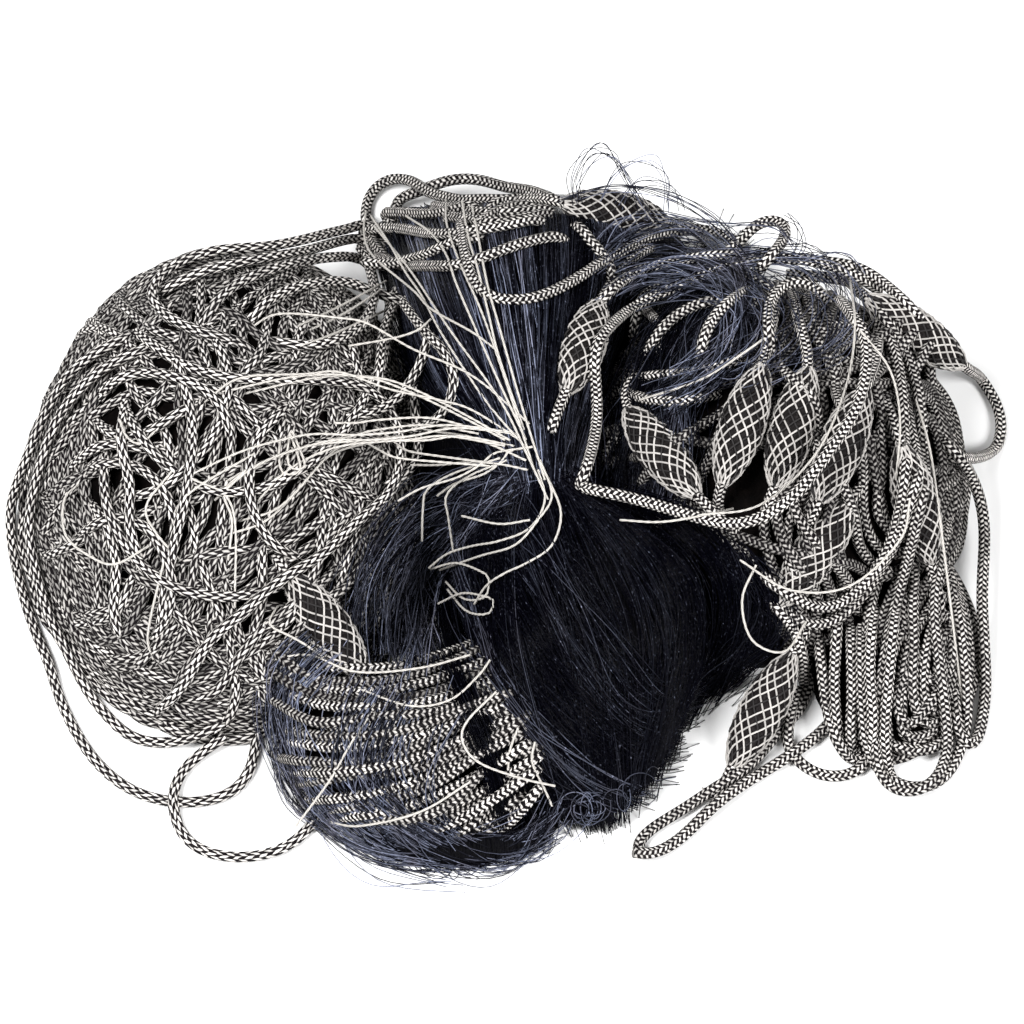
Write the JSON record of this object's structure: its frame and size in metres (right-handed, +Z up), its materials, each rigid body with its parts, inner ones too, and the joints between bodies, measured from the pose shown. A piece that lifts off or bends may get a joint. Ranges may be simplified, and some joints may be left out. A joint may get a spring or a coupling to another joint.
{
  "type": "bundled fishing net",
  "caption": "Bundled fishing net lying in a heap: a coiled lead line, a coiled float line with spindle floats, and a combed hank of dark netting tied with pale twine.",
  "frame": {"origin": "on the surface the bundle lies on, under the middle of the netting's hank", "axes": "+X to the right from the lead line's coils to the float line's coils, +Y away from the viewer towards the hank's back end, +Z up"},
  "size_m": [0.4668, 0.367, 0.1125],
  "materials": {
    "lead_line": "black and off-white braid",
    "float_line": "black and off-white braid",
    "float_body": "dark foam under an open braid",
    "netting": "glossy dark blue nylon strands",
    "twine": "off-white twisted twine"
  },
  "bodies": {
    "root": {"lead_line_heap": "lead_line", "lead_line_wrap": "lead_line", "float_line_heap": "float_line", "net_hank": "netting", "hanging_twine": "twine", "float_1": "float_body", "float_2": "float_body", "float_3": "float_body", "float_4": "float_body", "float_5": "float_body", "float_6": "float_body", "float_7": "float_body", "float_8": "float_body", "float_9": "float_body"}
  },
  "joints": []
}
